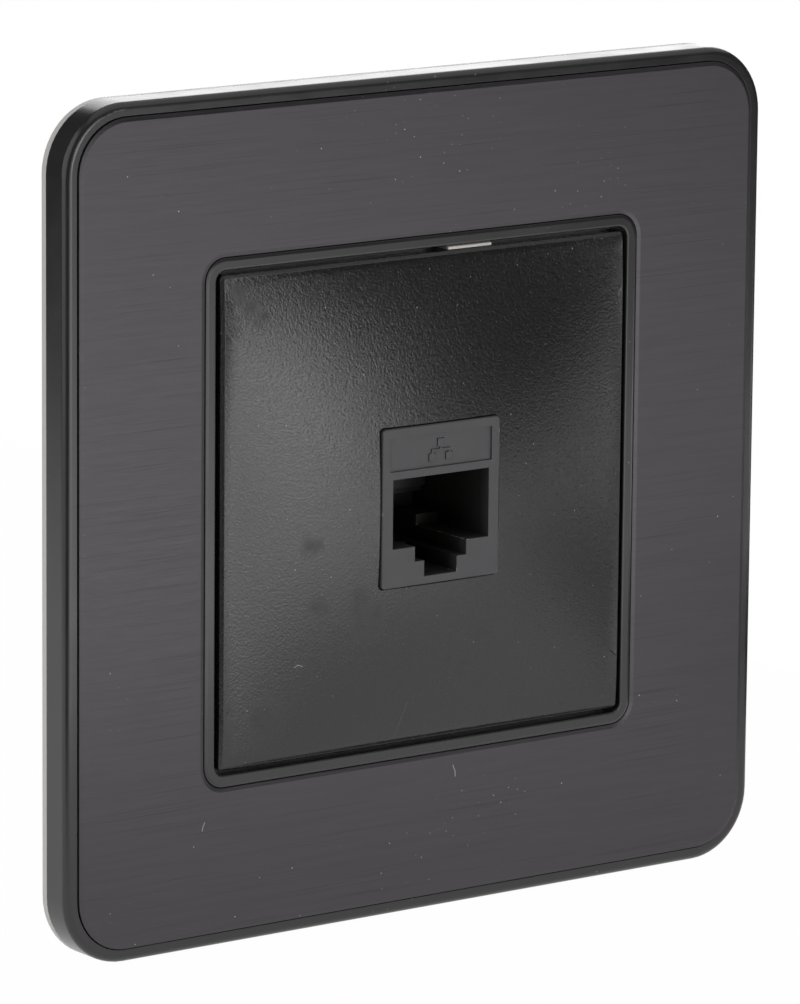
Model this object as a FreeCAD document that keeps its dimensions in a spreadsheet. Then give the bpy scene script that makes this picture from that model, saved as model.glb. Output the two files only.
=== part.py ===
"""Ethernet wall socket: a square plate with a brushed panel, a crowned insert and a keystone jack.

The wall is the plane y = 0. X runs right, Z up, and the plate faces -Y.
A height is measured from the wall towards the viewer, a depth from the jack's face back into the wall.
"""
import FreeCAD, Part
import math
import os
import Sketcher
from FreeCAD import Placement, Rotation, Vector

SIZES = {
    # Plate: the frame, its rim and the lip round the middle
    "plate_size": 86.0,
    "plate_corner": 7.0,
    "plate_height": 4.2,
    "plate_edge_round": 0.75,
    "cover_wall": 1.6,
    "rim_width": 1.35,
    "web_thickness": 1.0,
    "lip_opening": 50.95,
    "lip_width": 1.225,
    "lip_corner": 1.1,
    "lip_edge_bevel": 0.3,
    "lip_edge_drop": 0.1,
    "lip_edge_round": 0.2,
    "rib_thickness": 0.9,
    "rib_spacing": 22.0,
    "hook_width": 6.0,
    "hook_thickness": 1.1,
    "hook_spacing": 36.0,
    "hook_inset": 4.6,
    "hook_catch": 0.5,
    "hook_ledge": 0.8,
    "hook_gap": 0.07,
    "pry_width": 10.0,
    "pry_height": 0.9,
    # Brushed sheet let into the frame
    "panel_thickness": 1.0,
    "panel_rise": 0.28,
    "panel_edge_bevel": 0.42,
    "panel_edge_drop": 0.12,
    "seam_gap": 0.1,
    # Base on the wall
    "flange_thickness": 0.75,
    "deck_thickness": 1.6,
    "fit_gap": 0.15,
    "window_size": 46.8,
    "window_corner": 1.0,
    "collar_wall": 1.6,
    "collar_depth": 7.0,
    "slot_spacing": 60.3,
    "slot_length": 6.0,
    "slot_width": 4.2,
    "screw_head": 6.6,
    "screw_recess": 0.5,
    # Centre insert with its crown
    "insert_size": 50.0,
    "insert_corner": 0.45,
    "insert_rise": 0.6,
    "insert_wall": 1.5,
    "insert_edge_bevel": 0.3,
    "crown_rise": 2.6,
    "ridge_round": 36.0,
    "sleeve_wall": 1.4,
    "sleeve_depth": 8.6,
    "leg_width": 9.0,
    "leg_thickness": 1.3,
    "leg_catch": 0.9,
    "leg_barb": 1.6,
    "leg_reach": 2.3,
    # Keystone jack housing
    "jack_width": 14.6,
    "jack_height": 16.3,
    "jack_corner": 0.4,
    "jack_gap": 0.1,
    "jack_depth": 20.0,
    "jack_edge_bevel": 0.08,
    "port_width": 11.93,
    "port_top": 2.93,
    "port_height": 7.08,
    "port_depth": 13.0,
    "step_width": 6.4,
    "step_height": 1.54,
    "notch_width": 4.05,
    "notch_height": 1.63,
    "shoulder_depth": 8.6,
    "shoulder_height": 1.1,
    "label_width": 12.57,
    "label_height": 3.4,
    "label_centre": 5.44,
    "label_sink": 0.2,
    "face_wall": 1.8,
    "lug_width": 8.0,
    "lug_drop": 1.35,
    "lug_length": 2.5,
    "latch_width": 9.0,
    "latch_gap": 0.85,
    "latch_thickness": 0.9,
    "latch_root": 1.8,
    "boss_depth": 15.4,
    "boss_length": 1.7,
    "boss_width": 3.0,
    "boss_rise": 0.8,
    # Spring contacts and their carrier
    "contact_pitch": 1.016,
    "contact_width": 0.46,
    "contact_thickness": 0.36,
    "contact_bend": 1.0,
    "contact_front": 3.6,
    "contact_level": 5.4,
    "contact_slope": 20.3,
    "contact_reach": 11.3,
    "contact_tail": 0.4,
    "carrier_width": 11.5,
    "carrier_front": 4.6,
    "carrier_plate": 2.2,
    "carrier_gap": 0.1,
    "comb_front": 10.6,
    "comb_thickness": 1.8,
    "comb_foot": -1.3,
    "comb_slot_depth": 1.2,
    "comb_slot_foot": 0.3,
    "comb_slot_height": 1.6,
    "rebate_depth": 0.7,
    "rebate_height": 0.65,
    "contact_gap": 0.07,
    # Board, terminals and caps
    "board_side_inset": 0.65,
    "board_end_inset": 0.3,
    "board_thickness": 1.2,
    "contact_hole": 0.66,
    "tail_hole": 1.0,
    "block_height": 15.8,
    "block_thickness": 3.0,
    "solder_recess": 0.6,
    "solder_margin": 1.0,
    "row_spacing": 6.8,
    "tower_width": 14.0,
    "tower_height": 4.6,
    "tower_length": 6.8,
    "terminal_pitch": 3.2,
    "wire_slot_width": 1.1,
    "wire_slot_depth": 4.5,
    "arm_gap": 0.1,
    "arm_thickness": 1.0,
    "arm_width": 5.0,
    "arm_overlap": 0.9,
    "blade_width": 2.3,
    "blade_thickness": 0.5,
    "blade_gap": 0.08,
    "blade_sink": 0.5,
    "blade_tail_width": 0.7,
    "fork_gap": 0.36,
    "fork_depth": 3.6,
    "fork_mouth": 1.0,
    "cap_wall": 0.7,
    "cap_roof": 0.9,
    "cap_gap": 0.1,
    "cap_length": 3.8,
    "cap_notch_width": 1.4,
    "cap_notch_depth": 1.8,
    "stuffer_width": 0.9,
    "stuffer_length": 1.2,
    "stuffer_height": 1.4,
    "stuffer_centre": 1.3,
}
CONTACT_COUNT = 8
TERMINALS_PER_ROW = 4
RIM_EDGE_TOLERANCE = 1e-3

DOC = FreeCAD.newDocument("EthernetSocket")


class Size:
    """A length that carries its number and the expression that ties it to the sheet."""

    def __init__(self, text, value):
        self.text = text
        self.value = value

    def __add__(self, other):
        other = as_size(other)
        return Size(f"({self.text} + {other.text})", self.value + other.value)

    def __sub__(self, other):
        other = as_size(other)
        return Size(f"({self.text} - {other.text})", self.value - other.value)

    def __mul__(self, other):
        other = as_size(other)
        return Size(f"({self.text} * {other.text})", self.value * other.value)

    def __truediv__(self, other):
        other = as_size(other)
        return Size(f"({self.text} / {other.text})", self.value / other.value)

    def __neg__(self):
        return as_size(0) - self

    def __radd__(self, other):
        return as_size(other) + self

    def __rsub__(self, other):
        return as_size(other) - self

    def __rmul__(self, other):
        return as_size(other) * self


def as_size(item):
    """A plain number as a Size of its own."""
    return item if isinstance(item, Size) else Size(f"{float(item)}", float(item))


class Sheet:
    """The document's spreadsheet, with one Size for each named cell."""

    def __init__(self, sizes):
        cells = DOC.addObject("Spreadsheet::Sheet", "Sizes")
        for row, (name, value) in enumerate(sizes.items(), start=1):
            cells.set(f"A{row}", name)
            cells.set(f"B{row}", str(value))
            cells.setAlias(f"B{row}", name)
            setattr(self, name, Size(f"Sizes.{name}", value))


S = Sheet(SIZES)
DOC.recompute()


# Sketches

def new_body(name):
    """An empty body whose label names its file."""
    body = DOC.addObject("PartDesign::Body", name)
    body.Label = name
    return body


def origin_part(body, role):
    """One of the body's own planes or axes."""
    return next(item for item in body.Origin.OriginFeatures if item.Role == role)


def sketch_on(body, role, offset=0):
    """An empty sketch on one of the body's planes, moved along the plane's normal."""
    sketch = body.newObject("Sketcher::SketchObject", f"{body.Name}_sketch")
    sketch.AttachmentSupport = [(origin_part(body, role), "")]
    sketch.MapMode = "FlatFace"
    offset = as_size(offset)
    sketch.AttachmentOffset = Placement(Vector(0, 0, offset.value), Rotation())
    sketch.setExpression("AttachmentOffset.Base.z", offset.text)
    return sketch


def at_height(body, height):
    """A sketch that faces the viewer, at a height above the wall."""
    return sketch_on(body, "XZ_Plane", height)


def constrain(sketch, kind, *items):
    """A sketch constraint whose last item is a Size, bound to the sheet."""
    size = as_size(items[-1])
    index = sketch.addConstraint(Sketcher.Constraint(kind, *items[:-1], size.value))
    sketch.setExpression(f"Constraints[{index}]", size.text)


def fix_point(sketch, geometry, point, at):
    """Place a point of the sketch from its origin."""
    constrain(sketch, "DistanceX", -1, 1, geometry, point, at[0])
    constrain(sketch, "DistanceY", -1, 1, geometry, point, at[1])


def as_vector(point):
    return Vector(as_size(point[0]).value, as_size(point[1]).value, 0)


def add_polygon(sketch, points):
    """A closed outline of straight edges."""
    first = sketch.GeometryCount
    count = len(points)
    corners = [as_vector(point) for point in points]
    for i in range(count):
        sketch.addGeometry(Part.LineSegment(corners[i], corners[(i + 1) % count]), False)
    for i in range(count):
        following = first + (i + 1) % count
        sketch.addConstraint(Sketcher.Constraint("Coincident", first + i, 2, following, 1))
    for i, point in enumerate(points):
        fix_point(sketch, first + i, 1, point)


def add_rectangle(sketch, width, height, centre=(0, 0)):
    """A rectangle about a centre."""
    x, z = as_size(centre[0]), as_size(centre[1])
    left, right = x - width / 2, x + width / 2
    low, high = z - height / 2, z + height / 2
    add_polygon(sketch, [(left, low), (right, low), (right, high), (left, high)])


def add_arc_loop(sketch, centres, radius, turn):
    """Arcs of one radius about the centres, joined by tangent lines."""
    first = sketch.GeometryCount
    count = len(centres)
    radius = as_size(radius)
    start = 0 if count == 4 else -math.pi / 2
    arcs = []
    for i, centre in enumerate(centres):
        circle = Part.Circle(as_vector(centre), Vector(0, 0, 1), radius.value)
        arcs.append(Part.ArcOfCircle(circle, start + i * turn, start + (i + 1) * turn))
        sketch.addGeometry(arcs[i], False)
    for i in range(count):
        following = arcs[(i + 1) % count]
        sketch.addGeometry(Part.LineSegment(arcs[i].EndPoint, following.StartPoint), False)
    for i, centre in enumerate(centres):
        line = first + count + i
        following = first + (i + 1) % count
        sketch.addConstraint(Sketcher.Constraint("Tangent", first + i, 2, line, 1))
        sketch.addConstraint(Sketcher.Constraint("Tangent", line, 2, following, 1))
        constrain(sketch, "Radius", first + i, radius)
        fix_point(sketch, first + i, 3, centre)


def add_rounded_square(sketch, width, radius, height=None):
    """A rectangle about the origin with equal corner arcs, square unless a height is given."""
    x = width / 2 - radius
    z = (width if height is None else height) / 2 - radius
    add_arc_loop(sketch, [(x, z), (-x, z), (-x, -z), (x, -z)], radius, math.pi / 2)


def add_slot(sketch, length, width, centre_x):
    """A slot along X with round ends."""
    reach = (length - width) / 2
    add_arc_loop(sketch, [(centre_x + reach, 0), (centre_x - reach, 0)], width / 2, math.pi)


def add_circle(sketch, diameter, centre):
    """A full circle about a centre."""
    diameter = as_size(diameter)
    index = sketch.addGeometry(
        Part.Circle(as_vector(centre), Vector(0, 0, 1), diameter.value / 2), False)
    constrain(sketch, "Diameter", index, diameter)
    fix_point(sketch, index, 3, centre)


# Features

def bind(feature, **sizes):
    """Tie a feature's properties to the sheet."""
    for name, size in sizes.items():
        feature.setExpression(name, as_size(size).text)


def pad(body, sketch, length, backwards=False, symmetric=False):
    """Material along the sketch's normal."""
    feature = body.newObject("PartDesign::Pad", f"{body.Name}_pad")
    feature.Profile = sketch
    feature.Reversed = backwards
    feature.SideType = "Symmetric" if symmetric else "One side"
    bind(feature, Length=length)
    DOC.recompute()
    return feature


def pocket(body, sketch, depth=None, from_behind=False, symmetric=False):
    """Material taken away against the sketch's normal, right through where no depth is given."""
    before = body.Shape.Volume
    feature = body.newObject("PartDesign::Pocket", f"{body.Name}_pocket")
    feature.Profile = sketch
    feature.Reversed = from_behind
    feature.SideType = "Symmetric" if symmetric else "One side"
    if depth is None:
        feature.Type = "ThroughAll"
    else:
        bind(feature, Length=depth)
    DOC.recompute()
    if not body.Shape.Volume < before:
        raise RuntimeError(f"{feature.Name} cuts nothing from {body.Label}")
    return feature


def wedge(body, kind, front, back, front_height, back_height):
    """A frustum along the wall's normal between two centred rectangles, each given as half sizes."""
    feature = body.newObject(f"PartDesign::{kind}Wedge", f"{body.Name}_wedge")
    bind(feature, Xmin=-front[0], Xmax=front[0], Zmin=-front[1], Zmax=front[1],
         X2min=-back[0], X2max=back[0], Z2min=-back[1], Z2max=back[1],
         Ymin=-front_height, Ymax=-back_height)
    DOC.recompute()
    return feature


def dress_edges(body, kind, wanted, **size):
    """A fillet or chamfer on the body's edges whose end points pass a test."""
    base = body.Tip
    names = [f"Edge{number}" for number, edge in enumerate(base.Shape.Edges, start=1)
             if wanted([vertex.Point for vertex in edge.Vertexes])]
    if not names:
        raise RuntimeError(f"no edge of {body.Label} to dress")
    feature = body.newObject(f"PartDesign::{kind}", f"{body.Name}_{kind.lower()}")
    feature.Base = (base, names)
    bind(feature, **size)
    DOC.recompute()
    return feature


def round_edges(body, radius, wanted):
    """Round the edges that pass a test."""
    return dress_edges(body, "Fillet", wanted, Radius=radius)


def bevel_edges(body, size, wanted):
    """Break the edges that pass a test with a flat bevel."""
    return dress_edges(body, "Chamfer", wanted, Size=size)


def ease_edges(body, size, drop, wanted, round_hole=False):
    """Let a face fall away by a shallow bevel, a size wide and a drop deep, to its outline or to a hole."""
    feature = bevel_edges(body, size, wanted)
    feature.ChamferType = "Two distances"
    feature.FlipDirection = not round_hole
    bind(feature, Size2=drop)
    DOC.recompute()
    return feature


def repeat_along_x(body, features, count, pitch):
    """The same features again at an even pitch to the right."""
    pattern = body.newObject("PartDesign::LinearPattern", f"{body.Name}_row")
    pattern.Originals = features
    pattern.Direction = (origin_part(body, "X_Axis"), [""])
    pattern.Occurrences = count
    bind(pattern, Length=pitch * (count - 1))
    body.Tip = pattern
    DOC.recompute()
    return pattern


def repeat_round_y(body, features, count):
    """The same features again, turned about the wall's normal."""
    pattern = body.newObject("PartDesign::PolarPattern", f"{body.Name}_turn")
    pattern.Originals = features
    pattern.Axis = (origin_part(body, "Y_Axis"), [""])
    pattern.Angle = 360
    pattern.Occurrences = count
    body.Tip = pattern
    DOC.recompute()
    return pattern


def same(a, b):
    return abs(a - b) < RIM_EDGE_TOLERANCE


def on_square(height, size):
    """A test for edges of a centred square outline at one height."""
    def wanted(points):
        return all(same(point.y, -height.value)
                   and same(max(abs(point.x), abs(point.z)), size.value / 2) for point in points)
    return wanted


def row_places(count, pitch):
    """Centred positions at an even pitch."""
    return [pitch * (i - (count - 1) / 2) for i in range(count)]


# Heights and depths that several pieces share

face_height = S.plate_height + S.insert_rise + S.crown_rise
insert_edge = S.plate_height + S.insert_rise
panel_face = S.plate_height + S.panel_rise
bed_height = panel_face - S.panel_thickness
web_back = bed_height - S.web_thickness
deck_clear = S.deck_thickness + S.fit_gap
lip_outer = S.lip_opening + 2 * S.lip_width
lip_outer_corner = S.lip_corner + S.lip_width
bed_size = S.plate_size - 2 * S.rim_width
bed_corner = S.plate_corner - S.rim_width
cavity_size = S.plate_size - 2 * S.cover_wall
cavity_corner = S.plate_corner - S.cover_wall
hook_level = S.plate_size / 2 - S.hook_inset
sleeve_width = S.jack_width + 2 * S.jack_gap + 2 * S.sleeve_wall
sleeve_height = S.jack_height + 2 * S.jack_gap + 2 * S.sleeve_wall
port_floor = S.port_top - S.port_height
step_floor = port_floor - S.step_height
notch_floor = step_floor - S.notch_height
board_width = S.jack_width - 2 * S.board_side_inset
board_height = S.block_height - 2 * S.board_end_inset
board_front = S.jack_depth
board_back = board_front + S.board_thickness
block_back = board_back + S.block_thickness
tower_back = block_back + S.tower_length


def behind_face(depth):
    """The y of a point at a depth behind the jack's face."""
    return depth - face_height


def at_depth(body, depth):
    """A sketch that faces the viewer, at a depth behind the jack's face."""
    return at_height(body, face_height - depth)


def make_cover_frame():
    """Moulded frame with a rim, a bed for the sheet, a lip, and ribs and hooks behind."""
    body = new_body("cover_frame")
    outline = at_height(body, S.flange_thickness)
    add_rounded_square(outline, S.plate_size, S.plate_corner)
    pad(body, outline, S.plate_height - S.flange_thickness)

    bed = at_height(body, S.plate_height)
    add_rounded_square(bed, bed_size, bed_corner)
    add_rounded_square(bed, lip_outer, lip_outer_corner)
    pocket(body, bed, S.plate_height - bed_height)

    rise = at_height(body, S.plate_height)
    add_rounded_square(rise, lip_outer, lip_outer_corner)
    pad(body, rise, S.panel_rise)

    opening = at_height(body, panel_face)
    add_rounded_square(opening, S.lip_opening, S.lip_corner)
    pocket(body, opening)

    cavity = at_height(body, S.flange_thickness)
    add_rounded_square(cavity, cavity_size, cavity_corner)
    add_rounded_square(cavity, lip_outer, lip_outer_corner)
    pocket(body, cavity, web_back - S.flange_thickness, from_behind=True)

    lip_back = at_height(body, S.flange_thickness)
    add_rounded_square(lip_back, lip_outer, lip_outer_corner)
    pocket(body, lip_back, deck_clear - S.flange_thickness, from_behind=True)

    head_room = at_height(body, bed_height)
    for side in (-1, 1):
        add_circle(head_room, S.screw_head, (side * S.slot_spacing / 2, 0))
    pocket(body, head_room, S.web_thickness)

    notch = at_height(body, S.flange_thickness)
    add_rectangle(notch, S.pry_width, S.cover_wall * 2, (0, -S.plate_size / 2))
    pocket(body, notch, S.pry_height, from_behind=True)

    ribs = at_height(body, web_back)
    rib_span = (cavity_size - lip_outer) / 2
    for place in row_places(2, S.rib_spacing):
        add_rectangle(ribs, S.rib_thickness, rib_span, (place, lip_outer / 2 + rib_span / 2))
    rib_row = pad(body, ribs, web_back - deck_clear, backwards=True)
    repeat_round_y(body, [rib_row], 4)

    inner, outer = hook_level - S.hook_thickness / 2, hook_level + S.hook_thickness / 2
    catch_top = S.hook_ledge - S.hook_gap
    tip = S.hook_gap
    hooks = []
    for side in (-1, 1):
        hook = sketch_on(body, "YZ_Plane", side * S.hook_spacing / 2)
        add_polygon(hook, [(-web_back, inner), (-web_back, outer), (-catch_top, outer),
                           (-catch_top, outer + S.hook_catch), (-tip, outer), (-tip, inner)])
        hooks.append(pad(body, hook, S.hook_width, symmetric=True))
    repeat_round_y(body, hooks, 2)

    round_edges(body, S.plate_edge_round, on_square(S.plate_height, S.plate_size))
    ease_edges(body, S.lip_edge_bevel, S.lip_edge_drop, on_square(panel_face, lip_outer))
    round_edges(body, S.lip_edge_round, on_square(panel_face, S.lip_opening))
    return body


def make_brushed_panel():
    """Square sheet with a square opening, its front edges bevelled."""
    body = new_body("brushed_panel")
    outer, outer_corner = bed_size - 2 * S.seam_gap, bed_corner - S.seam_gap
    inner, inner_corner = lip_outer + 2 * S.seam_gap, lip_outer_corner + S.seam_gap
    sheet = at_height(body, bed_height)
    add_rounded_square(sheet, outer, outer_corner)
    add_rounded_square(sheet, inner, inner_corner)
    pad(body, sheet, S.panel_thickness)
    ease_edges(body, S.panel_edge_bevel, S.panel_edge_drop, on_square(panel_face, outer))
    ease_edges(body, S.panel_edge_bevel, S.panel_edge_drop, on_square(panel_face, inner),
               round_hole=True)
    return body


def make_mounting_base():
    """Flange on the wall with a deck, two fixing slots, hook slots and a collar round the window."""
    body = new_body("mounting_base")
    flange = at_height(body, 0)
    add_rounded_square(flange, S.plate_size, S.plate_corner)
    pad(body, flange, S.flange_thickness)

    deck = at_height(body, S.flange_thickness)
    add_rounded_square(deck, cavity_size - 2 * S.fit_gap, cavity_corner - S.fit_gap)
    pad(body, deck, S.deck_thickness - S.flange_thickness)

    collar = at_height(body, 0)
    add_rounded_square(collar, S.window_size + 2 * S.collar_wall, S.window_corner + S.collar_wall)
    pad(body, collar, S.collar_depth, backwards=True)

    window = at_height(body, S.deck_thickness)
    add_rounded_square(window, S.window_size, S.window_corner)
    pocket(body, window)

    slots = at_height(body, S.deck_thickness)
    recesses = at_height(body, S.deck_thickness)
    for side in (-1, 1):
        place = side * S.slot_spacing / 2
        add_slot(slots, S.slot_length, S.slot_width, place)
        add_slot(recesses, S.screw_head + S.slot_length - S.slot_width, S.screw_head, place)
    pocket(body, slots)
    pocket(body, recesses, S.screw_recess)

    hook_slots = at_height(body, S.deck_thickness)
    hook_pockets = at_height(body, 0)
    slot_width = S.hook_width + 2 * S.fit_gap
    slot_height = S.hook_thickness + 2 * S.fit_gap
    for side in (-1, 1):
        for end in (-1, 1):
            place = side * S.hook_spacing / 2
            add_rectangle(hook_slots, slot_width, slot_height, (place, end * hook_level))
            beside = end * (hook_level + S.hook_catch / 2)
            add_rectangle(hook_pockets, slot_width, slot_height + S.hook_catch, (place, beside))
    pocket(body, hook_slots)
    pocket(body, hook_pockets, S.hook_ledge, from_behind=True)

    leg_windows = sketch_on(body, "XY_Plane")
    add_rectangle(leg_windows, S.leg_width + 2 * S.fit_gap, S.leg_barb + 2 * S.fit_gap,
                  (0, S.leg_reach + S.leg_barb / 2))
    pocket(body, leg_windows, S.plate_size, symmetric=True)
    return body


def make_insert():
    """Centre plate: a low crown with soft ridges, hollow behind, with a sleeve for the jack and two legs."""
    body = new_body("insert")
    edge = S.insert_size / 2
    top_x, top_z = S.jack_width / 2, S.jack_height / 2
    overrun = S.insert_rise / S.crown_rise
    foot_x = edge + (edge - top_x) * overrun
    foot_z = edge + (edge - top_z) * overrun
    wedge(body, "Additive", (top_x, top_z), (foot_x, foot_z), face_height, S.plate_height)
    round_edges(body, S.ridge_round,
                lambda points: not same(points[0].y, points[-1].y))

    trim = at_height(body, face_height)
    add_rectangle(trim, foot_x * 3, foot_z * 3)
    add_rounded_square(trim, S.insert_size, S.insert_corner)
    pocket(body, trim, S.crown_rise * 2)

    skirt = at_height(body, S.deck_thickness)
    add_rounded_square(skirt, S.insert_size, S.insert_corner)
    pad(body, skirt, S.plate_height - S.deck_thickness)
    bevel_edges(body, S.insert_edge_bevel, lambda points: all(
        same(max(abs(point.x), abs(point.z)), edge.value)
        and point.y < -S.plate_height.value - RIM_EDGE_TOLERANCE for point in points))

    inside = S.insert_size - 2 * S.insert_wall
    ceiling = insert_edge - S.insert_wall
    hollow = at_height(body, S.deck_thickness)
    add_rectangle(hollow, inside, inside)
    pocket(body, hollow, ceiling - S.deck_thickness, from_behind=True)
    wedge(body, "Subtractive", (top_x, top_z), (inside / 2, inside / 2),
          face_height - S.insert_wall, ceiling)

    sleeve = at_depth(body, S.sleeve_depth)
    add_rectangle(sleeve, sleeve_width, sleeve_height)
    pad(body, sleeve, S.sleeve_depth - S.insert_wall + S.sleeve_wall / 2)
    aperture = at_depth(body, 0)
    add_rounded_square(aperture, S.jack_width + 2 * S.jack_gap, S.jack_corner + S.jack_gap,
                       S.jack_height + 2 * S.jack_gap)
    pocket(body, aperture)

    outer = S.window_size / 2 - S.fit_gap
    inner = outer - S.leg_thickness
    root = ceiling + S.insert_wall / 2
    catch, end = S.leg_reach + S.fit_gap, S.leg_reach + S.leg_barb
    leg = sketch_on(body, "YZ_Plane")
    add_polygon(leg, [(-root, inner), (-root, outer), (catch, outer), (catch, outer + S.leg_catch),
                      (end, outer), (end, inner)])
    leg_pad = pad(body, leg, S.leg_width, symmetric=True)
    repeat_round_y(body, [leg_pad], 2)
    return body


def make_jack_housing():
    """Keystone body with the stepped plug port, label window, fixed lug and springy latch."""
    body = new_body("jack_housing")
    block = at_depth(body, S.jack_depth)
    add_rounded_square(block, S.jack_width, S.jack_corner, S.jack_height)
    pad(body, block, S.jack_depth)
    bevel_edges(body, S.jack_edge_bevel,
                lambda points: all(same(point.y, -face_height.value) for point in points))

    wide, step, notch = S.port_width / 2, S.step_width / 2, S.notch_width / 2
    port = at_depth(body, 0)
    add_polygon(port, [
        (-wide, S.port_top), (-wide, port_floor), (-step, port_floor), (-step, step_floor),
        (-notch, step_floor), (-notch, notch_floor), (notch, notch_floor), (notch, step_floor),
        (step, step_floor), (step, port_floor), (wide, port_floor), (wide, S.port_top)])
    pocket(body, port, S.shoulder_depth)

    shoulder = port_floor + S.shoulder_height
    deep = at_depth(body, 0)
    add_polygon(deep, [
        (-wide, S.port_top), (-wide, shoulder), (-step, shoulder), (-step, step_floor),
        (step, step_floor), (step, shoulder), (wide, shoulder), (wide, S.port_top)])
    pocket(body, deep, S.port_depth)

    label = at_depth(body, 0)
    add_rectangle(label, S.label_width, S.label_height, (0, S.label_centre))
    pocket(body, label, S.label_sink)

    room = S.carrier_width + 2 * S.carrier_gap
    room_top = carrier_top() + S.carrier_gap
    room_foot = S.port_top - S.contact_bend / 2
    loft = at_depth(body, S.jack_depth)
    add_rectangle(loft, room, room_top - room_foot, (0, (room_top + room_foot) / 2))
    pocket(body, loft, S.jack_depth - S.face_wall, from_behind=True)
    comb_room_foot = S.comb_foot - S.carrier_gap
    comb_room = at_depth(body, S.jack_depth)
    add_rectangle(comb_room, room, S.port_top - comb_room_foot,
                  (0, (S.port_top + comb_room_foot) / 2))
    pocket(body, comb_room, S.jack_depth - S.comb_front + S.carrier_gap, from_behind=True)

    seat = S.sleeve_depth + S.carrier_gap
    half = S.jack_height / 2
    lug = sketch_on(body, "YZ_Plane")
    add_polygon(lug, [
        (behind_face(seat), -half), (behind_face(seat), -half - S.lug_drop),
        (behind_face(seat + S.lug_length / 2), -half - S.lug_drop),
        (behind_face(seat + S.lug_length), -half)])
    pad(body, lug, S.lug_width, symmetric=True)

    under = half + S.latch_gap
    over = under + S.latch_thickness
    root = behind_face(S.jack_depth - S.latch_root)
    latch = sketch_on(body, "YZ_Plane")
    add_polygon(latch, [
        (root, half), (behind_face(S.jack_depth), half), (behind_face(S.jack_depth), over),
        (behind_face(seat), over), (behind_face(seat), under), (root, under)])
    pad(body, latch, S.latch_width, symmetric=True)

    boss = sketch_on(body, "XY_Plane")
    side = S.jack_width / 2
    front = behind_face(S.boss_depth - S.boss_length / 2)
    back = behind_face(S.boss_depth + S.boss_length / 2)
    add_polygon(boss, [(side, front), (side + S.boss_rise, front), (side, back)])
    boss_pad = pad(body, boss, S.boss_width, symmetric=True)
    repeat_round_y(body, [boss_pad], 2)
    return body


def carrier_top():
    """Level of the carrier's upper face, flush with the contacts in their grooves."""
    return S.contact_level + S.contact_thickness / 2


def make_contact_carrier():
    """Plate with a groove for each contact and a comb that parts their free ends."""
    body = new_body("contact_carrier")
    top = carrier_top()
    low = top - S.carrier_plate
    front, back = behind_face(S.carrier_front), behind_face(S.jack_depth - S.carrier_gap)
    comb, comb_back = behind_face(S.comb_front), behind_face(S.comb_front + S.comb_thickness)
    profile = sketch_on(body, "YZ_Plane")
    rebate, rebate_top = comb + S.rebate_depth, S.comb_foot + S.rebate_height
    add_polygon(profile, [(front, low), (front, top), (back, top), (back, low), (comb_back, low),
                          (comb_back, S.comb_foot), (rebate, S.comb_foot), (rebate, rebate_top),
                          (comb, rebate_top), (comb, low)])
    pad(body, profile, S.carrier_width, symmetric=True)

    first = row_places(CONTACT_COUNT, S.contact_pitch)[0]
    way = S.contact_width + 2 * S.contact_gap
    groove = sketch_on(body, "XY_Plane", top)
    add_rectangle(groove, way, back - front, (first, (front + back) / 2))
    groove_cut = pocket(body, groove, S.contact_thickness + S.contact_gap)
    repeat_along_x(body, [groove_cut], CONTACT_COUNT, S.contact_pitch)

    slot = at_depth(body, S.comb_front)
    add_rectangle(slot, way, S.comb_slot_height,
                  (first, S.comb_slot_foot + S.comb_slot_height / 2))
    slot_cut = pocket(body, slot, S.comb_slot_depth)
    repeat_along_x(body, [slot_cut], CONTACT_COUNT, S.contact_pitch)
    return body


def make_contact(number, place):
    """Spring strip: a level run from the board, a tight bend and a slanting run into the port."""
    body = new_body(f"contact_{number}")
    level, bend = S.contact_level, S.contact_bend
    start = behind_face(board_back + S.contact_tail)
    turn = behind_face(S.contact_front)
    end = behind_face(S.contact_reach)
    slope = math.radians(S.contact_slope.value)
    centre = Vector(turn.value, level.value - bend.value, 0)
    circle = Part.Circle(centre, Vector(0, 0, 1), bend.value)
    arc = Part.ArcOfCircle(circle, math.pi / 2, 3 * math.pi / 2 - slope)
    drop = (end.value - arc.EndPoint.x) * math.tan(slope)
    tip = Vector(end.value, arc.EndPoint.y - drop, 0)

    route = sketch_on(body, "YZ_Plane")
    route.addGeometry(Part.LineSegment(Vector(start.value, level.value, 0), arc.StartPoint), False)
    route.addGeometry(arc, False)
    route.addGeometry(Part.LineSegment(arc.EndPoint, tip), False)
    route.addConstraint(Sketcher.Constraint("Tangent", 0, 2, 1, 1))
    route.addConstraint(Sketcher.Constraint("Tangent", 1, 2, 2, 1))
    route.addConstraint(Sketcher.Constraint("Horizontal", 0))
    fix_point(route, 0, 1, (start, level))
    constrain(route, "DistanceX", -1, 1, 1, 3, turn)
    constrain(route, "Radius", 1, bend)
    constrain(route, "DistanceX", -1, 1, 2, 2, end)
    slant = route.addConstraint(Sketcher.Constraint("Angle", 2, -slope))
    route.setExpression(f"Constraints[{slant}]", (-S.contact_slope).text)

    section = at_depth(body, board_back + S.contact_tail)
    add_rectangle(section, S.contact_width, S.contact_thickness, (0, level))
    DOC.recompute()
    strip = body.newObject("PartDesign::AdditivePipe", f"{body.Name}_strip")
    strip.Profile = section
    strip.Spine = (route, ["Edge1", "Edge2", "Edge3"])
    body.setExpression("Placement.Base.x", as_size(place).text)
    DOC.recompute()
    return body


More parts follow.
